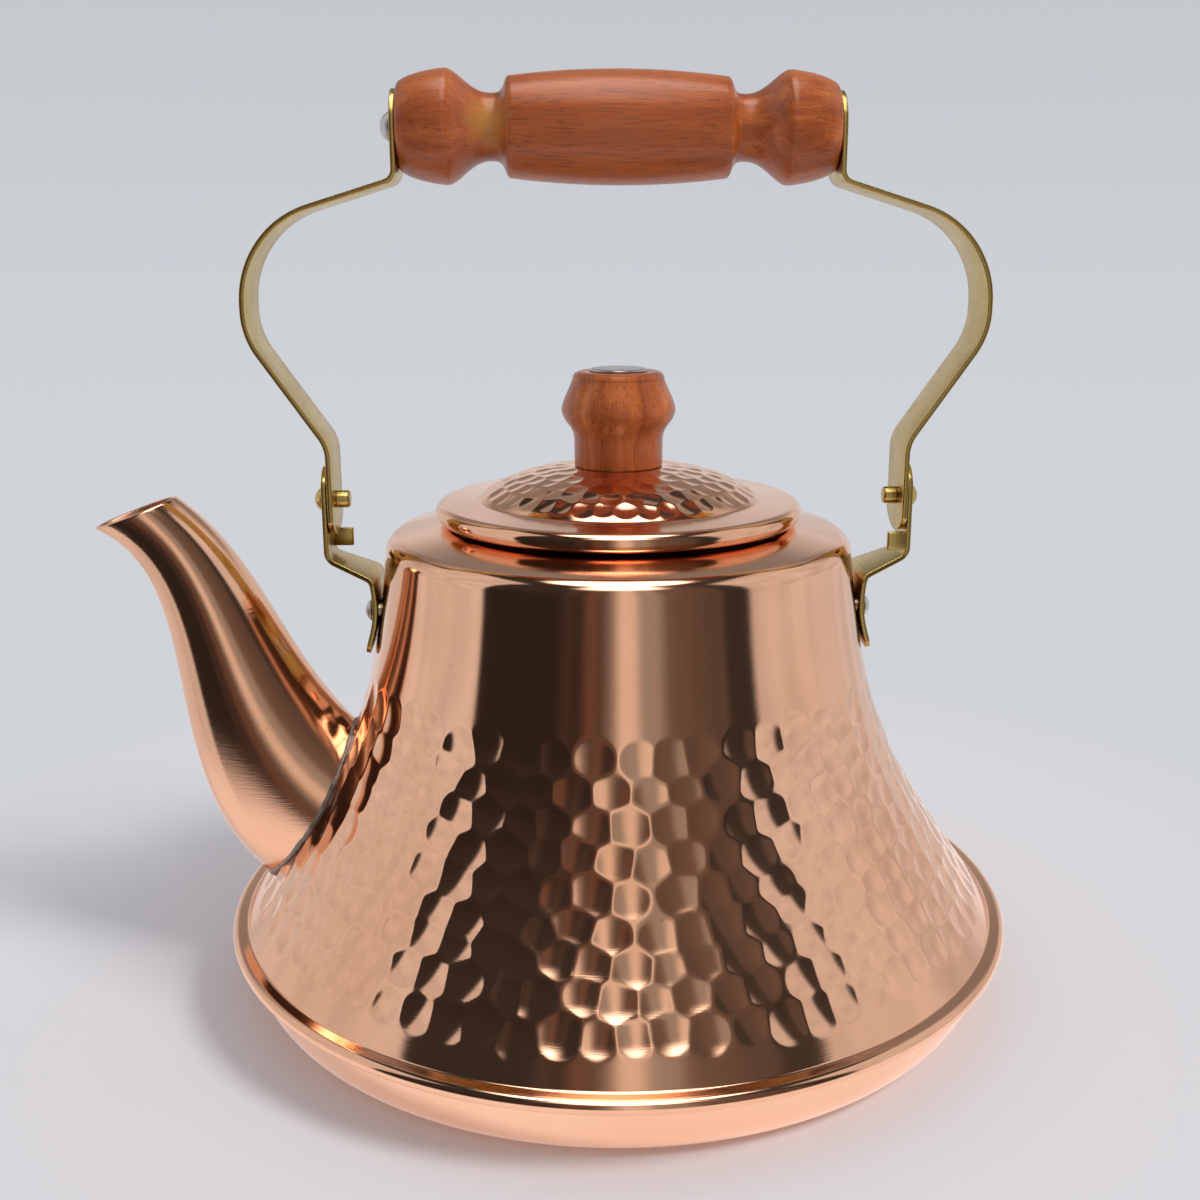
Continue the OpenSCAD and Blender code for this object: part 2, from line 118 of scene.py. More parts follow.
def shifted(path, d):
    """The path moved sideways by d, to the left of its direction when d is positive."""
    step = np.diff(path, axis=0)
    step /= np.linalg.norm(step, axis=1)[:, None]
    before, after = np.vstack([step[:1], step]), np.vstack([step, step[-1:]])
    side = before + after
    side = np.c_[-side[:, 1], side[:, 0]]
    side /= np.linalg.norm(side, axis=1)[:, None]
    return path + side * (d / (side * np.c_[-before[:, 1], before[:, 0]]).sum(1))[:, None]


def lengths(path):
    """How far along the path each of its points lies."""
    return np.r_[0, np.cumsum(np.linalg.norm(np.diff(path, axis=0), axis=1))]


def resampled(path, spacing):
    """The path with its points at about the given spacing."""
    s = lengths(path)
    t = np.linspace(0, s[-1], max(2, round(s[-1] / spacing) + 1))
    return np.c_[np.interp(t, s, path[:, 0]), np.interp(t, s, path[:, 1])]


def at_height(p, q, z):
    """Where the line through p and q reaches the height z."""
    return [p[0] + (q[0] - p[0]) * (z - p[1]) / (q[1] - p[1]), z]


# ---------------------------------------------------------------- meshes


def solid(name, points, faces, material):
    """A smooth-shaded object whose faces all look outwards."""
    mesh = bpy.data.meshes.new(name)
    mesh.from_pydata((np.asarray(points) * MM).tolist(), [], faces)
    mesh.polygons.foreach_set("use_smooth", [True] * len(mesh.polygons))
    mesh.materials.append(material)
    mesh.calc_loop_triangles()
    corners = np.array([t.vertices for t in mesh.loop_triangles])
    a, b, c = (np.asarray(points)[corners[:, i]] for i in range(3))
    if (a * np.cross(b, c)).sum() < 0:
        mesh.flip_normals()
    obj = bpy.data.objects.new(name, mesh)
    bpy.context.scene.collection.objects.link(obj)
    return obj


def make(name, points, faces, material, body, node, slot):
    """A piece that rides on a body and stands for a CAD node."""
    obj = solid(name, points, faces, material)
    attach(obj, body)
    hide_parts(node)
    return obj


def grid_faces(rows, columns, wrap_rows):
    """Quads of a grid whose columns close on themselves, and its rows too when asked."""
    a = np.arange(rows * columns).reshape(rows, columns)
    low = a if wrap_rows else a[:-1]
    high = np.roll(a, -1, 0) if wrap_rows else a[1:]
    quads = np.stack([low, high, np.roll(high, -1, 1), np.roll(low, -1, 1)], -1)
    return quads.reshape(-1, 4).tolist()


def lathe_points(outline, columns, relief=None):
    """Rings of points round Z for an outline of (radius, height), moved along its normal by the relief."""
    outline = np.asarray(outline, float)
    theta = np.arange(columns) * TAU / columns
    r = np.repeat(outline[:, :1], columns, 1)
    z = np.repeat(outline[:, 1:], columns, 1)
    if relief is not None:
        step = np.gradient(outline, axis=0)
        normal = np.c_[-step[:, 1], step[:, 0]] / np.linalg.norm(step, axis=1)[:, None]
        r = r + relief * normal[:, :1]
        z = z + relief * normal[:, 1:]
    return np.stack([r * np.cos(theta), r * np.sin(theta), z], -1)


def turned(outline, columns, relief=None):
    """Points and faces of a turned solid.

    An outline whose ends lie on the axis closes there, and any other closes on itself.
    """
    outline = np.asarray(outline, float)
    poles = outline[0, 0] < 1e-6
    rings = outline[1:-1] if poles else outline
    points = lathe_points(rings, columns, relief).reshape(-1, 3)
    faces = grid_faces(len(rings), columns, not poles)
    if poles:
        n = len(points)
        points = np.vstack([points, [[0, 0, outline[0, 1]], [0, 0, outline[-1, 1]]]])
        last = n - columns
        faces += [[n, j, (j + 1) % columns] for j in range(columns)]
        faces += [[n + 1, last + (j + 1) % columns, last + j] for j in range(columns)]
    return points, faces


def along_x(points, y=0, z=0):
    """Points of a piece turned about Z, laid with its axis along +X."""
    p = np.asarray(points)
    return np.c_[p[:, 2], p[:, 1] + y, -p[:, 0] + z]


def on_side(points, side):
    """The points of a right-hand piece, turned half round the kettle for its left-hand twin."""
    return np.asarray(points) * ([-1, -1, 1] if side == "left" else [1, 1, 1])


def bent_sheet(path, width, thickness, edge):
    """A strip of sheet metal bent along a path of (x, z), with rounded edges.

    width gives half of the strip's width at each point of the path.
    """
    step = np.gradient(path, axis=0)
    step /= np.linalg.norm(step, axis=1)[:, None]
    normal = np.c_[-step[:, 1], step[:, 0]]
    rings = []
    for p, n, w in zip(path, normal, width):
        e = min(edge, w * 0.95)
        sides = []
        for cy, cn, start in ((1, 1, 0), (-1, 1, 90), (-1, -1, 180), (1, -1, 270)):
            centre = np.array([cy * (w - e), cn * (thickness / 2 - edge)])
            sides.append(arc([0, 0], 1, start, start + 90, 4) * [e, edge] + centre)
        ring = np.concatenate(sides)
        rings.append(np.c_[p[0] + n[0] * ring[:, 1], ring[:, 0], p[1] + n[1] * ring[:, 1]])
    points = np.concatenate(rings)
    k = len(rings[0])
    faces = grid_faces(len(rings), k, False)
    faces += [list(range(k)), [len(points) - 1 - j for j in range(k)]]
    return points, faces


def joined(*parts):
    """Several solids, each as (points, faces), in one mesh."""
    points, faces, n = [], [], 0
    for p, f in parts:
        points.append(np.asarray(p))
        faces += [[i + n for i in face] for face in f]
        n += len(p)
    return np.concatenate(points), faces


def rounded_block(low, high, r, steps=4):
    """A block with rounded edges."""
    low, high = np.asarray(low, float), np.asarray(high, float)
    a = np.radians(np.linspace(-90, 90, 2 * steps + 2))
    columns = 4 * (steps + 1)
    b = np.radians(np.concatenate([np.linspace(q, q + 90, steps + 1) for q in (0, 90, 180, 270)]))
    quadrant = np.repeat([[1, 1], [-1, 1], [-1, -1], [1, -1]], steps + 1, 0)
    half = (high - low) / 2 - r
    rings = []
    for i, e in enumerate(a):
        up = -1 if i <= steps else 1
        rings.append(np.c_[quadrant[:, 0] * half[0] + r * math.cos(e) * np.cos(b),
                           quadrant[:, 1] * half[1] + r * math.cos(e) * np.sin(b),
                           np.full(columns, up * half[2] + r * math.sin(e))])
    points = np.concatenate(rings) + (low + high) / 2
    faces = grid_faces(len(rings), columns, False)
    faces += [list(range(columns)), [len(points) - 1 - j for j in range(columns)]]
    return points, faces


# ---------------------------------------------------------------- hammer marks


ROW_PITCH = 0.86          # between rows, in mark sizes, as in a packing of hexagons
BOWL_REACH = 0.575        # from a mark's middle to its corners, in mark sizes
DEPTH_SPREAD = 0.22       # how much deeper or shallower than usual a blow may be
TILT = 0.012              # how far a blow may lean
CREASE = 26.0             # per mm: the higher, the sharper the ridges between marks


def hammered(outline, first, last, columns, size, curve, seed, jitter):
    """Relief of a band of hammer marks on a turned outline, between two lengths along it.

    Marks of the given size lie in staggered rows, each a shallow bowl whose radius is curve.
    Returns the relief at every point of the lathe's grid: zero or less, at most a fraction of a millimetre.
    """
    rng = np.random.default_rng(seed)
    s, r = lengths(outline), outline[:, 0]
    theta = np.arange(columns) * TAU / columns
    rows = max(1, round((last - first) / (size * ROW_PITCH)))
    pitch = (last - first) / rows
    depth = (BOWL_REACH * size) ** 2 / (2 * curve)
    total = np.ones((len(outline), columns))
    for k in range(rows):
        s_row = first + (k + 0.5) * pitch
        r_row = np.interp(s_row, s, r)
        n = max(6, round(TAU * r_row / size))
        phase = (0.5 if k % 2 else 0) * TAU / n - math.pi / 2      # every other row has a mark at the front
        off_s = rng.normal(0, jitter * size, n)
        off_t = rng.normal(0, jitter * size, n) / r_row
        deep = depth * rng.uniform(1 - DEPTH_SPREAD, 1 + DEPTH_SPREAD, n)
        tilt_s, tilt_t = rng.normal(0, TILT, n), rng.normal(0, TILT, n)
        near = np.where(abs(s - s_row) < size)[0]
        j0 = np.round((theta - phase) * n / TAU).astype(int)
        for dj in (-1, 0, 1):
            j = j0 + dj
            m = j % n
            dt = (theta - phase - j * TAU / n) - off_t[m]
            for i in near:
                ds = s[i] - s_row - off_s[m]
                t = dt * r[i]
                h = deep[m] - (ds * ds + t * t) / (2 * curve) + tilt_s[m] * ds + tilt_t[m] * t
                total[i] += np.exp(CREASE * np.clip(h, -1, 1))
    return -np.log(total) / CREASE


# ---------------------------------------------------------------- materials


class Tree:
    """Short words for building a node tree."""

    def __init__(self, tree, coordinates):
        self.tree = tree
        self.place = self.new("ShaderNodeTexCoord").outputs[coordinates]

    def new(self, kind, **values):
        node = self.tree.nodes.new(kind)
        for key, value in values.items():
            setattr(node, key, value)
        return node

    def link(self, a, b):
        self.tree.links.new(a, b)

    def put(self, socket, value):
        """Links another node's output or sets a constant, which is a number or a colour without its alpha."""
        if isinstance(value, bpy.types.NodeSocket):
            self.link(value, socket)
        elif isinstance(value, tuple):
            socket.default_value = (*value, 1)
        else:
            socket.default_value = value

    def math(self, operation, a, b=None):
        node = self.new("ShaderNodeMath", operation=operation)
        self.put(node.inputs[0], a)
        if b is not None:
            self.put(node.inputs[1], b)
        return node.outputs[0]

    def apart(self, vector):
        """The x, y and z of a vector."""
        node = self.new("ShaderNodeSeparateXYZ")
        self.link(vector, node.inputs[0])
        return node.outputs

    def stretch(self, scale, source=None):
        node = self.new("ShaderNodeMapping")
        self.link(source or self.place, node.inputs["Vector"])
        node.inputs["Scale"].default_value = scale
        return node.outputs[0]

    def noise(self, scale, detail=3.0, rough=0.55, source=None, distortion=0.0):
        node = self.new("ShaderNodeTexNoise")
        self.link(source or self.place, node.inputs["Vector"])
        node.inputs["Scale"].default_value = scale
        node.inputs["Detail"].default_value = detail
        node.inputs["Roughness"].default_value = rough
        node.inputs["Distortion"].default_value = distortion
        return node.outputs["Fac"]

    def ramp(self, value, *stops):
        node = self.new("ShaderNodeValToRGB")
        self.link(value, node.inputs["Fac"])
        e = node.color_ramp.elements
        while len(e) < len(stops):
            e.new(0.5)
        for slot, (at, colour) in zip(e, stops):
            slot.position = at
            slot.color = (*colour, 1)
        return node.outputs["Color"]

    def level(self, value, low, high, to_low, to_high, kind="LINEAR"):
        node = self.new("ShaderNodeMapRange", interpolation_type=kind)
        self.link(value, node.inputs["Value"])
        for key, v in (("From Min", low), ("From Max", high), ("To Min", to_low), ("To Max", to_high)):
            node.inputs[key].default_value = v
        return node.outputs["Result"]

    def edge(self, value, at, soft):
        """0 below the edge and 1 above it."""
        return self.level(value, at - soft, at + soft, 0.0, 1.0, "SMOOTHSTEP")

    def mix(self, factor, a, b, kind="MIX"):
        node = self.new("ShaderNodeMix", data_type="RGBA", blend_type=kind)
        self.put(node.inputs["Factor"], factor)
        self.put(node.inputs[6], a)
        self.put(node.inputs[7], b)
        return node.outputs[2]

    def bump(self, height, strength, distance, normal=None):
        node = self.new("ShaderNodeBump")
        self.link(height, node.inputs["Height"])
        node.inputs["Strength"].default_value = strength
        node.inputs["Distance"].default_value = distance
        if normal is not None:
            self.link(normal, node.inputs["Normal"])
        return node.outputs["Normal"]

    def round_z(self, around, across):
        """A vector for marks that run round the Z axis: fine across them, coarse around."""
        x, y, z = self.apart(self.place)
        r = self.math("SQRT", self.math("ADD", self.math("MULTIPLY", x, x), self.math("MULTIPLY", y, y)))
        a = self.math("MULTIPLY", self.math("ADD", r, z), across)
        b = self.math("MULTIPLY", self.math("SUBTRACT", r, z), across)
        c = self.math("MULTIPLY", self.math("ADD", x, y), around)
        joined_up = self.new("ShaderNodeCombineXYZ")
        for socket, value in zip(joined_up.inputs, (a, b, c)):
            self.link(value, socket)
        return joined_up.outputs[0]


class Surface(Tree):
    """A material with its main shader."""

    def __init__(self, name):
        self.material = bpy.data.materials.new(name)
        self.material.use_nodes = True
        super().__init__(self.material.node_tree, "Object")
        self.shader = self.tree.nodes["Principled BSDF"]

    def metal(self, colour, roughness, normal):
        """Makes it bare metal."""
        self.shader.inputs["Metallic"].default_value = 1.0
        self.link(colour, self.shader.inputs["Base Color"])
        self.link(roughness, self.shader.inputs["Roughness"])
        self.link(normal, self.shader.inputs["Normal"])


def copper(name, lines, rough=(0.07, 0.13), tone=(0.94, 0.545, 0.36), brush=0.5, anisotropic=0.5):
    """Polished copper with fine spinning or brushing lines, faint tarnish and small dark specks."""
    n = Surface(name)
    brushed = n.noise(1.0, 4.0, 0.6, lines(n))
    cloud = n.noise(26.0, 4.0, 0.6, distortion=0.4)
    tarnished = tuple(c * k for c, k in zip(tone, (0.95, 0.9, 0.86)))
    warm = n.mix(n.level(cloud, 0.35, 0.7, 0.0, 1.0), tone, tarnished)
    specks = n.ramp(n.noise(420.0, 2.0, 0.5), (0.0, (0, 0, 0)), (0.27, (1, 1, 1)))
    colour = n.mix(0.5, warm, n.mix(1.0, warm, specks, "MULTIPLY"))
    smear = n.math("MULTIPLY", n.level(brushed, 0.25, 0.75, 0.0, 1.0), 0.45)
    worn = n.math("MULTIPLY", n.level(cloud, 0.3, 0.75, 0.0, 1.0), 0.55)
    n.metal(colour, n.level(n.math("ADD", smear, worn), 0.0, 1.0, *rough), n.bump(brushed, brush, 0.00002))
    if anisotropic:
        n.shader.inputs["Anisotropic"].default_value = anisotropic
        n.shader.inputs["Anisotropic Rotation"].default_value = 0.25
        tangent = n.new("ShaderNodeTangent", direction_type="RADIAL", axis="Z")
        n.link(tangent.outputs[0], n.shader.inputs["Tangent"])
    return n.material


def brass(name):
    """Brass strip as it was rolled and stamped: faint lines and clouds."""
    n = Surface(name)
    lines = n.noise(1.0, 3.0, 0.6, n.stretch((900, 120, 900)))
    cloud = n.noise(90.0, 4.0, 0.6)
    colour = n.mix(n.level(cloud, 0.35, 0.7, 0.0, 1.0), (0.60, 0.435, 0.15), (0.52, 0.365, 0.115))
    rough = n.level(n.math("MULTIPLY", n.math("ADD", lines, cloud), 0.5), 0.3, 0.7, 0.2, 0.34)
    n.metal(colour, rough, n.bump(lines, 0.08, 0.00001, n.bump(cloud, 0.05, 0.0001)))
    return n.material


def steel(name):
    """Plain grey steel."""
    n = Surface(name)
    cloud = n.noise(300.0, 4.0, 0.6)
    colour = n.ramp(cloud, (0.3, (0.52, 0.51, 0.50)), (0.7, (0.74, 0.73, 0.72)))
    n.metal(colour, n.level(cloud, 0.3, 0.7, 0.28, 0.45), n.bump(cloud, 0.2, 0.00005))
    return n.material


def solder(name):
    """Dull, lumpy grey solder."""
    n = Surface(name)
    cloud = n.noise(500.0, 5.0, 0.65)
    colour = n.ramp(cloud, (0.3, (0.16, 0.14, 0.13)), (0.7, (0.45, 0.42, 0.40)))
    n.metal(colour, n.level(cloud, 0.3, 0.7, 0.35, 0.6), n.bump(cloud, 0.5, 0.0002))
    return n.material


def wood(name, along, patch=None):
    """Stained and varnished hardwood: grain along one axis, short dark pores and slow bands of colour.

    patch is a place where the stain is thin, as its centre, its size and its colour.
    """
    n = Surface(name)

    def stretched(across, lengthwise):
        scale = [across] * 3
        scale[along] = lengthwise
        return n.stretch(tuple(scale))

    grain = n.noise(1.0, 6.0, 0.62, stretched(160.0, 9.0), 0.6)
    pores = n.noise(1.0, 2.0, 0.5, stretched(2300.0, 120.0))
    bands = n.noise(1.0, 3.0, 0.5, stretched(30.0, 7.0), 1.2)
    dark, middle, light = (0.13, 0.02, 0.005), (0.42, 0.09, 0.015), (0.76, 0.225, 0.045)
    colour = n.ramp(grain, (0.25, dark), (0.5, middle), (0.78, light))
    colour = n.mix(n.level(bands, 0.35, 0.68, 0.0, 0.75), colour, (0.40, 0.085, 0.016))
    colour = n.mix(n.level(pores, 0.54, 0.66, 0.0, 0.4), colour, (0.08, 0.018, 0.007))
    if patch is not None:
        centre, size, pale = patch
        offset = n.new("ShaderNodeVectorMath", operation="DISTANCE")
        n.link(n.place, offset.inputs[0])
        offset.inputs[1].default_value = [c * MM for c in centre]
        ragged = n.math("MULTIPLY", n.math("SUBTRACT", grain, 0.5), 0.006)
        reach = n.math("ADD", offset.outputs["Value"], ragged)
        colour = n.mix(n.level(reach, 0.25 * size * MM, size * MM, 0.75, 0.0), colour, pale)
    n.link(colour, n.shader.inputs["Base Color"])
    n.link(n.level(grain, 0.3, 0.7, 0.36, 0.5), n.shader.inputs["Roughness"])
    n.shader.inputs["Specular IOR Level"].default_value = 0.3
    n.shader.inputs["Coat Weight"].default_value = 0.5
    n.shader.inputs["Coat Roughness"].default_value = 0.24
    height = n.math("SUBTRACT", n.math("MULTIPLY", grain, 0.5), n.level(pores, 0.56, 0.66, 0.0, 0.5))
    n.link(n.bump(height, 0.35, 0.00012), n.shader.inputs["Normal"])
    return n.material


def spun(n):
    """Fine lines that run round the kettle."""
    return n.round_z(14.0, 2600.0)


def drawn(n):
    """Fine level lines, for the satin finish of the spout."""
    return n.stretch((190.0, 190.0, 2800.0))


BODY = copper("polished_copper", spun, rough=(0.06, 0.12), anisotropic=0.6)
LID = copper("lid_copper", spun, rough=(0.06, 0.12))
SPOUT = copper("brushed_copper", drawn, rough=(0.08, 0.15), brush=1.0, anisotropic=0)
INSIDE = copper("dull_copper", spun, rough=(0.3, 0.45), tone=(0.62, 0.34, 0.24), brush=0.4, anisotropic=0)
PAN = copper("pan_copper", spun, rough=(0.08, 0.16), tone=(0.99, 0.61, 0.42))
WOOD_GRIP = wood("grip_wood", 0, patch=((-30, -7, 212), 7, (0.60, 0.27, 0.05)))
WOOD_KNOB = wood("knob_wood", 2)
BRASS = brass("brass")
STEEL = steel("grey_steel")
SOLDER = solder("solder")

# ---------------------------------------------------------------- body

SHEET, PAN_SHEET = 1.1, 1.2
rim_r = box("body_shell")[1][0]
shoulder_z = box("body_shell")[1][2]
BASE_R, NECK_R, MOUTH_R, RIM_Z = 84.0, 57.8, 38.5, 17.0
SHOULDER_FALL = math.tan(math.radians(11))
seam_r = SHEET + PAN_SHEET / 2
fold_r = seam_r - SHEET / 2
fold_c = np.array([rim_r - seam_r, RIM_Z])
# the outside of the wall, from the neck down to the foot
wall_curve = [[NECK_R, shoulder_z - 6.4], [NECK_R + 4.2, 66.6], [rim_r - 27.6, 52], [rim_r - 4.4, RIM_Z + 2.6]]
wall_line = bezier(wall_curve, 400)


def wall_r(z):
    """The radius of the body's outside at a height on its wall."""
    return np.interp(-np.asarray(z, float), -wall_line[:, 1], wall_line[:, 0])


def body_outline():
    """The body's outer and inner faces, each from the mouth down to the rolled seam."""
    half = SHEET / 2
    wall = shifted(bezier(wall_curve, 120), -half)
    top, flange, mouth = shoulder_z - half, RIM_Z + fold_r, MOUTH_R + half
    neck = at_height(wall[0], wall[1], top - SHOULDER_FALL * (NECK_R - MOUTH_R))
    foot = at_height(wall[-1], wall[-2], flange)
    path = np.concatenate([
        rounded([[mouth, shoulder_z - 5, 0], [mouth, top, 1.8], [*neck, 4], [*wall[6], 0]], 14),
        wall[7:-3],
        corner(wall[-4], foot, [fold_c[0], flange], 1.4, 10),
        arc(fold_c, fold_r, 90, -90, 26),
        [[fold_c[0] - 1.5, RIM_Z - fold_r]],
    ])
    return shifted(path, half), shifted(path, -half)


HAMMER_TOP, HAMMER_LOW = 81.0, 24.5      # heights between which the body is hammered
HAMMER_MARGIN = 3.0


def dull_inside(obj, first):
    """Turns an object's faces from the first one of its inside on to dull copper."""
    obj.data.materials.append(INSIDE)
    dull = np.zeros(len(obj.data.polygons), int)
    dull[first:] = 1
    obj.data.polygons.foreach_set("material_index", dull)


def build_body(columns=1080):
    outside, inside = body_outline()
    wall = (outside[:, 0] > NECK_R) & (outside[:, 1] > HAMMER_LOW - HAMMER_MARGIN)
    first, last = np.where(wall & (outside[:, 1] < HAMMER_TOP + HAMMER_MARGIN))[0][[0, -1]]
    outside = np.concatenate([
        outside[:first], resampled(outside[first:last + 1], 0.5), outside[last + 1:]])
    inside = inside[::-1][::2]
    s = lengths(outside)
    wall = (outside[:, 0] > NECK_R) & (outside[:, 1] > HAMMER_LOW - HAMMER_MARGIN)
    start, stop = np.interp([-HAMMER_TOP, -HAMMER_LOW], -outside[wall, 1], s[wall])
    relief = hammered(outside, start, stop, columns, size=8.1, curve=24.0, seed=7, jitter=0.1)
    relief = np.vstack([relief, np.zeros((len(inside), columns))])
    # the outline runs down the outside, so its left-hand normal points outwards
    points, faces = turned(np.vstack([outside, inside]), columns, relief)
    obj = make("body", points, faces, BODY, "kettle", "body_shell", "copper")
    dull_inside(obj, (len(outside) - 1) * columns)
    return obj


def cut_port(body, radius=13.0, height=45.0, tilt=math.radians(33)):
    """Opens the port behind the spout through the body's wall."""
    points, faces = turned([[0, -20], [radius, -20], [radius, 20], [0, 20]], 128)
    out, up = math.cos(tilt), math.sin(tilt)
    x, y, z = points.T
    points = np.c_[x * up - z * out - wall_r(height), y, x * out + z * up + height]
    cutter = solid("port_cutter", points, faces, INSIDE)
    cut = body.modifiers.new("port", "BOOLEAN")
    cut.operation, cut.solver, cut.object = "DIFFERENCE", "MANIFOLD", cutter
    whole = body.data
    body.data = bpy.data.meshes.new_from_object(body.evaluated_get(bpy.context.evaluated_depsgraph_get()))
    body.modifiers.clear()
    bpy.data.meshes.remove(whole)
    bpy.data.meshes.remove(cutter.data)      # the cutter itself goes with its mesh


def build_pan():
    """The base pan, whose edge runs up into the body's rolled seam."""
    curve = [[BASE_R, 0], [BASE_R + 7, 0], [rim_r - 4.4, 5], [rim_r - 3.4, RIM_Z - seam_r]]
    side = shifted(bezier(curve, 60), PAN_SHEET / 2)
    turn = at_height(side[-2], side[-1], RIM_Z)
    path = np.concatenate([
        [[0, PAN_SHEET / 2]], [[r, PAN_SHEET / 2] for r in np.linspace(6, BASE_R - 2, 20)], side[:-1],
        corner(side[-2], turn, [fold_c[0], RIM_Z], 0.8, 8), [[fold_c[0] - 0.1, RIM_Z]]])
    upper, lower = shifted(path, PAN_SHEET / 2), shifted(path, -PAN_SHEET / 2)
    make("base_dish", *turned(np.vstack([upper, lower[::-1]]), 360), PAN, "kettle", "base_pan", "copper")


# ---------------------------------------------------------------- spout

spout_reach = -box("spout")[0][0]
spout_top = box("spout")[1][2] - 7.4
OUTER_RAIL = np.array([[-86.5, 21.5], [-124, 45.6], [-spout_reach + 30.3, spout_top - 13.7],
                       [-spout_reach, spout_top]])
INNER_RAIL = np.array([[-60, 57.5], [-85.5, 78.7], [-spout_reach + 42.5, spout_top - 9.4],
                       [-spout_reach + 20.1, spout_top + 7.4]])
SPOUT_FOOT_W, SPOUT_LIP_W = 17.5, 8.6


def spout_point(t, a, grow=0.0):
    """Points of the spout's surface: t runs along it and a, in radians, round it."""
    o, i = on_curve(OUTER_RAIL, t), on_curve(INNER_RAIL, t)
    mid, across = (o + i) / 2, o - i
    wide = np.linalg.norm(across, axis=-1)[..., None]
    half = wide[..., 0] / 2 + grow
    w = SPOUT_FOOT_W + (SPOUT_LIP_W - SPOUT_FOOT_W) * (1.45 * t - 0.45 * t * t) + grow
    out = across / wide
    return np.stack([mid[..., 0] + out[..., 0] * half * np.cos(a), w * np.sin(a),
                     mid[..., 1] + out[..., 1] * half * np.cos(a)], -1)


def foot_of(a, depth=0.0):
    """Where each of the spout's long lines meets the body's wall, less a depth into it."""
    low, high = np.full(a.shape, -0.05), np.full(a.shape, 0.6)
    for _ in range(40):
        t = (low + high) / 2
        p = spout_point(t, a)
        outside = np.hypot(p[..., 0], p[..., 1]) > wall_r(p[..., 2]) - depth
        high, low = np.where(outside, t, high), np.where(outside, low, t)
    return high


def build_spout(columns=144, rows=170):
    """The spout: its outside up to the lip, the lip's rounded edge, and its bore back down."""
    a = np.arange(columns) * TAU / columns
    foot = foot_of(a, 0.5)
    lip = 0.995
    rings = [spout_point(foot + (lip - foot) * k, a) for k in np.linspace(0, 1, rows)]
    along = spout_point(np.full(columns, lip), a) - spout_point(np.full(columns, lip - 0.01), a)
    along /= np.linalg.norm(along, axis=1)[:, None]
    for b in np.radians(np.arange(15, 180, 15)):
        rings.append(spout_point(np.full(columns, lip), a, SHEET / 2 * (math.cos(b) - 1))
                     + along * SHEET / 2 * math.sin(b))
    rings += [spout_point(foot + (lip - foot) * k, a, -SHEET) for k in np.linspace(1, 0, rows // 2)]
    points = np.concatenate(rings)
    faces = grid_faces(len(rings), columns, True)
    obj = make("spout_tube", points, faces, SPOUT, "kettle", "spout", "copper")
    dull_inside(obj, (rows + 8) * columns)


def build_solder(columns=260, sides=12):
    """An uneven bead of solder in the corner between the spout's foot and the body."""
    rng = np.random.default_rng(5)
    a = np.arange(columns) * TAU / columns
    centre = spout_point(foot_of(a), a)
    body_out = np.c_[centre[:, :2] / np.hypot(centre[:, 0], centre[:, 1])[:, None], np.full(columns, 0.45)]
    body_out /= np.linalg.norm(body_out, axis=1)[:, None]
    tube_out = spout_point(foot_of(a), a, 1.0) - centre
    tube_out /= np.linalg.norm(tube_out, axis=1)[:, None]
    run = np.roll(centre, -1, 0) - np.roll(centre, 1, 0)
    run /= np.linalg.norm(run, axis=1)[:, None]
    u = body_out + tube_out
    u -= (u * run).sum(1)[:, None] * run
    u /= np.linalg.norm(u, axis=1)[:, None]
    v = np.cross(run, u)
    swell = 0.58 + 0.1 * np.sin(a * 9 + 1) + 0.06 * np.sin(a * 23) + rng.normal(0, 0.025, columns)
    b = np.arange(sides) * TAU / sides
    rings = (centre + 0.12 * u)[:, None] + swell[:, None, None] * (
        np.cos(b)[None, :, None] * u[:, None] + np.sin(b)[None, :, None] * v[:, None])
    make("solder_seam", rings.reshape(-1, 3), grid_faces(columns, sides, True), SOLDER, "kettle",
         "spout_solder", "solder")


# ---------------------------------------------------------------- lid

LID_R = box("lid_cover")[1][0]
DOME_TOP = box("lid_knob")[0][2]
KNOB_TOP = box("lid_knob")[1][2]
CURL_R, DOME_R, KNOB_FOOT_R, DOME_H = 2.3, 35.1, 10.9, 8.3
curl_top = DOME_TOP - DOME_H
curl_c = np.array([LID_R - CURL_R, curl_top - CURL_R])
BOLT_HOLE = 2.55
COLLAR_SHEET = 0.9


def build_lid(columns=900):
    """The lid's cover: a hammered dome, a flat step and a curled rim."""
    curve = [[DOME_R, curl_top + 0.5], [DOME_R - 5.6, curl_top + 0.65 * DOME_H],
             [DOME_R - 14, DOME_TOP - 0.7], [KNOB_FOOT_R + 1, DOME_TOP]]
    dome = shifted(bezier(curve, 90)[::-1], -SHEET / 2)
    mid = CURL_R - SHEET / 2
    flat = [curl_c[0], curl_c[1] + mid]
    path = np.concatenate([
        [[r, DOME_TOP - SHEET / 2] for r in np.linspace(BOLT_HOLE, KNOB_FOOT_R, 6)], dome[:-6],
        corner(dome[-7], dome[-1], flat, 1.2, 8), [dome[-1] * 0.5 + np.array(flat) * 0.5],
        arc(curl_c, mid, 90, -150, 40)])
    outside = resampled(shifted(path, SHEET / 2), 0.4)
    inside = shifted(path, -SHEET / 2)[::-1][::3]
    s = lengths(outside)
    on_dome = int(np.argmax(outside[:, 0] > DOME_R))
    first, last = np.interp([KNOB_FOOT_R + 1.2, DOME_R - 1.6], outside[:on_dome, 0], s[:on_dome])
    relief = hammered(outside, first, last, columns, size=5.0, curve=12.0, seed=11, jitter=0.08)
    relief = np.vstack([relief, np.zeros((len(inside), columns))])
    points, faces = turned(np.vstack([outside, inside]), columns, relief)
    make("lid_dome", points, faces, LID, "lid", "lid_cover", "copper")


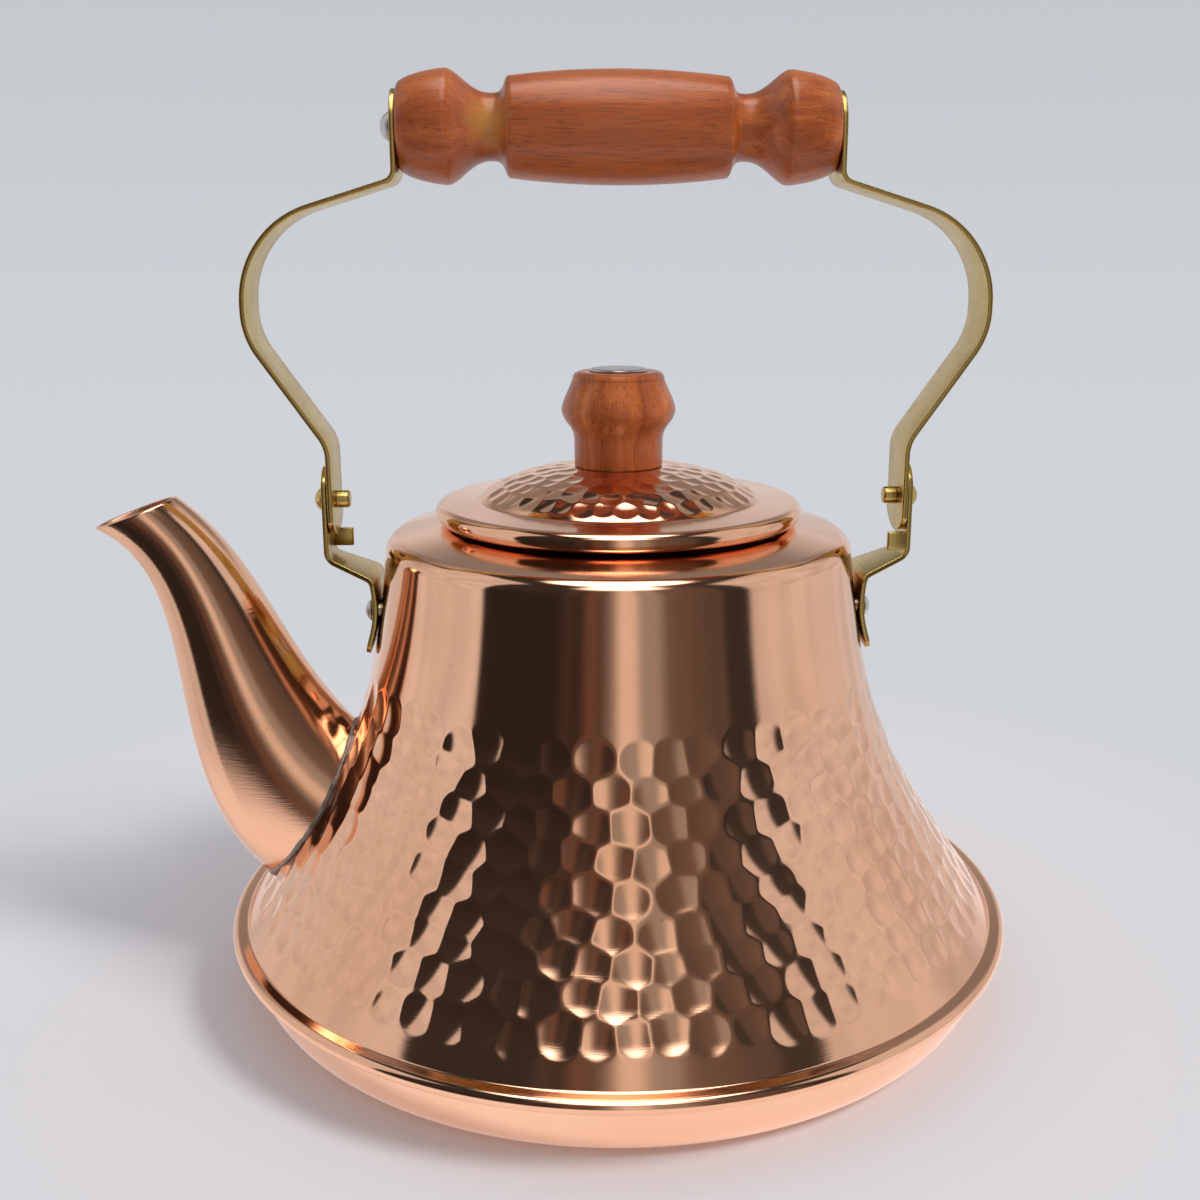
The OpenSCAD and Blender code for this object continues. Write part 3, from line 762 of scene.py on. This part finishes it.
def build_collar():
    (_, _, low), (outer, _, high) = box("lid_collar")
    inner, e = outer - COLLAR_SHEET, 0.3
    outline = rounded([[outer, low, e], [outer, high, e], [inner, high, e], [inner, low, e]], 4, closed=True)
    make("lid_ring", *turned(outline, 360), INSIDE, "lid", "lid_collar", "copper")


def build_knob():
    r, foot, h = box("lid_knob")[1][0], KNOB_FOOT_R, KNOB_TOP - DOME_TOP
    z = DOME_TOP
    outline = np.concatenate([
        [[BOLT_HOLE, z]], [[foot - 0.4, z]], [[foot - 0.1, z + 0.15], [foot, z + 0.5]],
        bezier([[foot, z + 0.25 * h], [foot, z + 0.45 * h], [r - 1, z + 0.42 * h], [r, z + 0.58 * h]], 30),
        bezier([[r, z + 0.6 * h], [r, z + 0.68 * h], [r - 2, z + 0.82 * h], [r - 2.8, z + 0.93 * h]], 24),
        arc([r - 4.6, KNOB_TOP - 1.9], 1.9, 10, 90, 10), [[BOLT_HOLE, KNOB_TOP]]])
    make("knob_wood", *turned(outline, 160), WOOD_KNOB, "lid", "lid_knob", "wood")


def build_bolt():
    low, high = box("knob_bolt")
    r, shank = high[0], BOLT_HOLE - 0.05
    outline = np.concatenate([
        [[0, high[2]]], rounded([[0.5, high[2], 0], [r, high[2], 0.45], [r, KNOB_TOP, 0]], 6),
        [[shank, KNOB_TOP], [shank, low[2] + 0.4], [shank - 0.4, low[2]], [0, low[2]]]])
    make("knob_screw", *turned(outline, 96), STEEL, "lid", "knob_bolt", "steel")


# ---------------------------------------------------------------- bail

GRIP_HALF = box("grip")[1][0]
GRIP_R = box("grip")[1][2] - GRIP_Z
STRAP_W, STRAP_T = 17.0, 1.2
FOOT_ARC, FOOT_DROP = 11.0, 8.65         # the arc at a strap's foot, and how far below the pivot it reaches
FOOT_CORNER = math.sqrt(FOOT_ARC**2 - (STRAP_W / 2) ** 2)      # from the arc's centre down to its corners
FIT = 0.1                                # between the grip's ends and the straps
ROD_R = 2.0
BAIL_REACH = box("bail_strap_right")[1][0]
STRAP_FOOT_X = 70.9


def build_strap(side):
    """A strap: round at the grip's end, down the bail's curve, and an arc at the foot below the pivot."""
    top_x = GRIP_HALF + FIT + STRAP_T / 2
    side_x = BAIL_REACH - STRAP_T / 2
    foot_x = STRAP_FOOT_X - STRAP_T / 2
    start_z, knee_z = GRIP_Z - 11.9, PIVOT_Z + 14
    top, low = GRIP_Z + STRAP_W / 2, PIVOT_Z - FOOT_DROP
    round_z = low + FOOT_ARC
    corner_z = round_z - FOOT_CORNER
    path = rounded([
        [top_x, top, 0], [top_x, start_z, 3], [side_x, start_z - 0.31 * (side_x - top_x), 23],
        [side_x, knee_z + 1.456 * (side_x - foot_x), 18], [foot_x, knee_z, 9], [foot_x, low, 0]], 24)
    path = resampled(path, 0.5)
    end = 1 - np.cos(np.linspace(0, math.pi / 2, 20))
    head = np.c_[np.full(20, top_x), top - end * STRAP_W / 2]
    foot = np.c_[np.full(20, foot_x), low + end[::-1] * (corner_z - low)]
    middle = path[(path[:, 1] < GRIP_Z - 0.3) & (path[:, 1] > corner_z + 0.3)]
    path = np.vstack([head, middle, foot])
    z = path[:, 1]
    width = np.select(
        [z > GRIP_Z, z < corner_z + 0.1],
        [np.sqrt(np.maximum(0, (STRAP_W / 2) ** 2 - (z - GRIP_Z) ** 2)),
         np.sqrt(np.maximum(0, FOOT_ARC**2 - (round_z - z) ** 2))], STRAP_W / 2)
    width = np.clip(width, 0.35, STRAP_W / 2)
    points, faces = bent_sheet(path, width, STRAP_T, 0.28)
    make(f"strap_{side}", on_side(points, side), faces, BRASS, "bail", f"bail_strap_{side}", "brass")


def build_grip():
    """The turned grip: a barrel, and on each side of it a cove and a bulge."""
    half, r = GRIP_HALF, GRIP_R
    barrel, barrel_end, cove_x, cove_r = 0.5 * half, r - 1.6, 0.58 * half, 7.6
    bulge_x, end_r, bore = 0.78 * half, r - 2.2, ROD_R + 0.08
    x = np.linspace(0, barrel, 24)
    right = np.concatenate([
        np.c_[x, r - (r - barrel_end) * (x / barrel) ** 2],
        bezier([[barrel + 0.5, barrel_end - 0.6], [barrel + 1.6, cove_r + 0.3], [cove_x - 2.2, cove_r],
                [cove_x, cove_r]], 18),
        bezier([[cove_x + 0.3, cove_r], [cove_x + 4.5, cove_r + 0.2], [bulge_x - 3.5, r - 1.2],
                [bulge_x - 0.5, r - 0.05]], 26),
        bezier([[bulge_x + 0.4, r - 0.02], [bulge_x + 4, r - 0.3], [half - 3, end_r + 0.8],
                [half - 1.4, end_r - 0.2]], 24),
        arc([half - 1.6, end_r - 1.9], 1.6, 60, 0, 8),
    ])
    right = np.c_[right[:, 1], right[:, 0]]
    outline = np.vstack([[[bore, half]], right[::-1], right[1:] * [1, -1], [[bore, -half]]])
    points, faces = turned(outline, 160)
    make("grip_wood", along_x(points, 0, GRIP_Z), faces, WOOD_GRIP, "grip", "grip", "wood")


def rivet_head(r, h, x, steps=10):
    """A dome of radius r and height h on a seat at x, from its top to its edge, as (radius, x)."""
    ball = (r * r + h * h) / (2 * h)
    edge = math.degrees(math.asin(min(1, r / ball)))
    return arc([0, x + h - ball], ball, 90, 90 - edge, steps)


def build_rod():
    """The steel rod through the grip, with a domed head at each end, the left one wider."""
    (low, _, _), (high, _, _) = box("grip_rod")
    seat = GRIP_HALF + FIT + STRAP_T
    outline = np.vstack([
        rivet_head(3.2, high - seat, seat), [[ROD_R, seat], [ROD_R, -seat]],
        rivet_head(3.7, -low - seat, seat)[::-1] * [1, -1]])
    outline[0, 0] = outline[-1, 0] = 0
    points, faces = turned(outline, 64)
    make("rod_steel", along_x(points, 0, GRIP_Z), faces, STEEL, "bail", "grip_rod", "steel")


# ---------------------------------------------------------------- pivots and ears

EAR_T = 1.2
EAR_W = 20.0
EAR_X = STRAP_FOOT_X + 0.6
EAR_RIVET_Z = 96.2
EAR_BOTTOM = box("ear_right")[0][2]
STOP_T = 1.4
STOP_ANGLE = math.radians(31)
# the stop tab's upper edge is where the strap's lower corner comes to when the bail is at its stop
corner_drop = FOOT_CORNER - FOOT_ARC + FOOT_DROP
stop_dist = math.hypot(STRAP_W / 2, corner_drop)
stop_turn = STOP_ANGLE + math.atan2(corner_drop, STRAP_W / 2)
stop_y, stop_drop = stop_dist * math.cos(stop_turn), stop_dist * math.sin(stop_turn)


def build_pivot(side):
    """A pivot rivet: domed outside the ear, a plain upset tail inside the strap."""
    seat, tail_x = EAR_X + EAR_T, STRAP_FOOT_X - STRAP_T - 0.05
    shank, tail_r, tail_end = 1.55, 2.15, tail_x - 3.2
    outline = np.vstack([
        rivet_head(3.25, 2.5, seat), [[shank, seat], [shank, tail_x], [tail_r, tail_x]],
        rounded([[tail_r, tail_x - 0.1, 0], [tail_r, tail_end, 0.6], [0.2, tail_end, 0]], 6),
        [[0, tail_end]]])
    outline[0, 0] = 0
    points, faces = turned(outline, 64)
    points = along_x(points, 0, PIVOT_Z)
    make(f"pivot_{side}", on_side(points, side), faces, BRASS, "kettle", f"pivot_rivet_{side}", "brass")


def build_ear(side):
    """An ear: an upright at the pivot, a shelf, a plate on the body, and a stop tab on one edge."""
    up_x, plate_x = EAR_X + EAR_T / 2, wall_r(EAR_RIVET_Z) + 0.25
    shelf_top_z, shelf_end_z = 109.1, 104.3
    top, upright, stop_z = PIVOT_Z + 8.2, 6.2, PIVOT_Z - stop_drop
    path = rounded([[up_x, top, 0], [up_x, shelf_top_z, 3], [plate_x + 0.9, shelf_end_z, 2.4],
                    [plate_x, EAR_RIVET_Z - 0.2, 25], [plate_x + 2.6, EAR_BOTTOM, 0]], 24)
    path = resampled(path, 0.3)
    end = (1 - np.cos(np.linspace(0, math.pi / 2, 14))) * upright
    path = np.vstack([np.c_[np.full(14, up_x), top - end], path[path[:, 1] < top - upright - 0.2]])
    z = path[:, 1]
    heights = np.array([top - upright, stop_z, shelf_top_z - 0.1, shelf_end_z - 0.8,
                        EAR_BOTTOM + 1.5, EAR_BOTTOM])
    half_widths = [upright, stop_y + STOP_T, stop_y + STOP_T, EAR_W / 2, EAR_W / 2, EAR_W / 2 - 1.5]
    width = np.interp(-z, -heights, half_widths)
    over = np.maximum(0, z - (top - upright))
    width = np.where(over > 0, np.maximum(0.35, np.sqrt(np.maximum(0, upright**2 - over**2))), width)
    tab = rounded_block([EAR_X - 4.6, -stop_y - STOP_T, PIVOT_Z - 12.9], [EAR_X + 0.3, -stop_y, stop_z], 0.4)
    points, faces = joined(bent_sheet(path, width, EAR_T, 0.25), tab)
    make(f"bracket_{side}", on_side(points, side), faces, BRASS, "kettle", f"ear_{side}", "brass")


def build_ear_rivet(side, end):
    """One of an ear's two rivets, at its front or its back edge."""
    node = f"ear_rivet_{side}_{end}"
    low, high = box(node)
    sign = -1 if side == "left" else 1
    y = (low[1] + high[1]) / 2
    near, far = sorted((abs(low[0]), abs(high[0])))
    head_h, shank, tail_r = 1.6, 1.6, 2.5
    seat, tail_x = far - head_h, near + 1.3
    outline = np.vstack([
        rivet_head(2.8, head_h, seat), [[shank, seat], [shank, tail_x], [tail_r, tail_x]],
        rounded([[tail_r, tail_x - 0.1, 0], [tail_r, near, 0.4], [0.3, near, 0]], 5), [[0, near]]])
    outline[0, 0] = 0
    points, faces = turned(outline, 48)
    points = along_x(points, 0, EAR_RIVET_Z) * [sign, 1, 1] + [0, y, 0]
    make(f"rivet_{side}_{end}", points, faces, STEEL, "kettle", node, "steel")


cut_port(build_body())
build_pan()
build_spout()
build_solder()
build_lid()
build_collar()
build_knob()
build_bolt()
build_grip()
build_rod()
for side in ("left", "right"):
    build_strap(side)
    build_pivot(side)
    build_ear(side)
    for end in ("front", "back"):
        build_ear_rivet(side, end)
for node, material in (("knob_washer", STEEL), ("knob_nut", STEEL),
                       ("pivot_washer_left", BRASS), ("pivot_washer_right", BRASS)):
    frame["nodes"][node].data.materials.clear()
    frame["nodes"][node].data.materials.append(material)

# ---------------------------------------------------------------- stage, light and camera


def build_stage(radius=0.3, count=128):
    """A pale floor that melts into the backdrop on all sides."""
    n = Surface("pale_floor")
    cloud = n.noise(3.0, 3.0, 0.5)
    colour = n.ramp(cloud, (0.3, (0.775, 0.765, 0.79)), (0.7, (0.80, 0.79, 0.815)))
    n.link(colour, n.shader.inputs["Base Color"])
    n.shader.inputs["Roughness"].default_value = 0.5
    n.shader.inputs["Specular IOR Level"].default_value = 0.08
    away = n.new("ShaderNodeVectorMath", operation="LENGTH")
    n.link(n.place, away.inputs[0])
    clear = n.new("ShaderNodeBsdfTransparent")
    blend = n.new("ShaderNodeMixShader")
    n.link(n.level(away.outputs["Value"], 0.12, 0.295, 0.0, 1.0, "SMOOTHERSTEP"), blend.inputs[0])
    # the metal mirrors the floor a little brighter than it is seen
    path = n.new("ShaderNodeLightPath")
    n.shader.inputs["Emission Color"].default_value = (1, 0.98, 0.97, 1)
    n.link(n.math("MULTIPLY", path.outputs["Is Glossy Ray"], 0.3), n.shader.inputs["Emission Strength"])
    n.link(n.shader.outputs[0], blend.inputs[1])
    n.link(clear.outputs[0], blend.inputs[2])
    n.link(blend.outputs[0], n.tree.nodes["Material Output"].inputs["Surface"])
    a = np.arange(count) * TAU / count
    mesh = bpy.data.meshes.new("floor")
    mesh.from_pydata(np.c_[radius * np.cos(a), radius * np.sin(a), 0 * a].tolist(), [], [list(range(count))])
    mesh.materials.append(n.material)
    obj = bpy.data.objects.new("floor", mesh)
    bpy.context.scene.collection.objects.link(obj)
    obj.location.z = -0.0002


# The dark room in front, as (azimuth in degrees, colour). Its bright part near 0 is a lit upright.
ROOM = (
    (-30, (0.028, 0.024, 0.022)), (-26, (0.06, 0.045, 0.04)), (-20, (0.036, 0.03, 0.026)),
    (-15, (0.16, 0.09, 0.07)), (-10, (0.085, 0.07, 0.06)), (-5, (0.27, 0.24, 0.22)), (-1, (0.8, 0.74, 0.7)),
    (5, (0.72, 0.68, 0.64)), (8, (0.34, 0.34, 0.33)), (15, (0.34, 0.34, 0.33)), (20, (0.16, 0.13, 0.11)),
    (43, (0.10, 0.08, 0.07)), (45, (0.12, 0.1, 0.09)), (48, (0.045, 0.04, 0.038)),
)
LEFT_WALL, RIGHT_WALL = math.radians(68), math.radians(61)      # where the pale side walls begin
LAMP_HALF = math.radians(24)                                    # half the width of the lamp in front
LAMP = (4.5, 4.4, 4.3)


def build_world():
    """Pale studio walls on both sides and behind, a dark room in front, and a lamp above it.

    x, y and z are the parts of the direction that is looked in, as a unit vector.
    """
    world = bpy.data.worlds.new("studio")
    bpy.context.scene.world = world
    world.use_nodes = True
    n = Tree(world.node_tree, "Generated")
    x, y, z = n.apart(n.place)
    ahead = n.math("MULTIPLY", y, -1.0)
    azimuth = n.math("ARCTAN2", x, ahead)                       # 0 at the front, + to the right
    raised = n.math("MAXIMUM", z, 0.001)

    # the side walls end at a height, and so does the wall behind, which is darker further up
    left = n.edge(n.math("MULTIPLY", azimuth, -1.0), LEFT_WALL, 0.02)
    sides = n.math("MAXIMUM", left, n.edge(azimuth, RIGHT_WALL, 0.02))
    sides = n.math("MULTIPLY", sides, n.edge(n.math("DIVIDE", n.math("ABSOLUTE", x), raised), 0.6, 0.03))
    behind = n.math("MULTIPLY", n.edge(y, 0.0, 0.02), n.edge(n.math("DIVIDE", y, raised), 0.75, 0.05))
    walls = n.math("MAXIMUM", sides, behind)
    uneven = n.noise(5.0, 2.0, 0.5)
    pale = n.mix(uneven, (0.42, 0.42, 0.43), (0.94, 0.94, 0.96))
    pale = n.mix(n.math("MULTIPLY", n.edge(y, 0.55, 0.2), n.edge(z, 0.36, 0.12)), pale, (0.27, 0.265, 0.26))

    # the dark room, with a faint glow higher up
    turn = n.math("DIVIDE", n.math("ADD", azimuth, math.pi), TAU)
    dark = n.ramp(turn, *(((degrees + 180) / 360, colour) for degrees, colour in ROOM))
    dark = n.mix(1.0, dark, n.level(z, 0.1, 0.6, 0.0, 0.015), "ADD")

    # the lamp reaches from high in front to the zenith, and only the metal and the varnish show it
    ray = n.new("ShaderNodeLightPath").outputs
    narrow = n.math("SUBTRACT", 1.0, n.edge(n.math("ABSOLUTE", azimuth), LAMP_HALF, 0.2))
    lamp = n.math("MULTIPLY", n.math("MULTIPLY", n.edge(z, 0.8, 0.07), narrow), n.edge(ahead, 0.0, 0.05))
    lamp = n.math("MAXIMUM", lamp, n.edge(z, 0.955, 0.02))
    lamp = n.math("MULTIPLY", lamp, ray["Is Glossy Ray"])
    mirrored = n.mix(lamp, dark, LAMP)
    mirrored = n.mix(n.math("MULTIPLY", walls, n.math("SUBTRACT", 1.0, lamp)), mirrored, pale)

    # matt surfaces get an even light, and the camera sees a plain backdrop
    backdrop = n.mix(n.edge(z, 0.05, 0.22), (0.63, 0.65, 0.69), (0.545, 0.56, 0.60))
    light = n.mix(ray["Is Diffuse Ray"], mirrored, (0.56, 0.575, 0.61))
    n.link(n.mix(ray["Is Camera Ray"], light, backdrop), n.tree.nodes["Background"].inputs["Color"])


def build_key():
    """One broad soft light from the upper right in front, which the polished metal doesn't mirror."""
    data = bpy.data.lights.new("key", "SUN")
    data.energy, data.angle, data.color = 1.5, math.radians(18), (1.0, 0.98, 0.96)
    key = bpy.data.objects.new("key", data)
    key.rotation_euler = Vector((0.62, -0.32, 0.72)).to_track_quat("Z", "Y").to_euler()
    key.visible_glossy = False
    bpy.context.scene.collection.objects.link(key)


def build_camera():
    data = bpy.data.cameras.new("camera")
    data.sensor_width, data.lens = 36.0, 42.0
    data.shift_x = -0.0154
    camera = bpy.data.objects.new("camera", data)
    yaw, pitch, distance, height = math.radians(2.4), math.radians(14.5), 0.345, 0.186
    camera.location = (-distance * math.sin(yaw), -distance * math.cos(yaw), height)
    camera.rotation_euler = (math.pi / 2 - pitch, 0, -yaw)
    data.clip_start = 0.01
    bpy.context.scene.collection.objects.link(camera)
    bpy.context.scene.camera = camera


build_stage()
build_world()
build_key()
build_camera()
bpy.context.scene.view_settings.view_transform = "Standard"
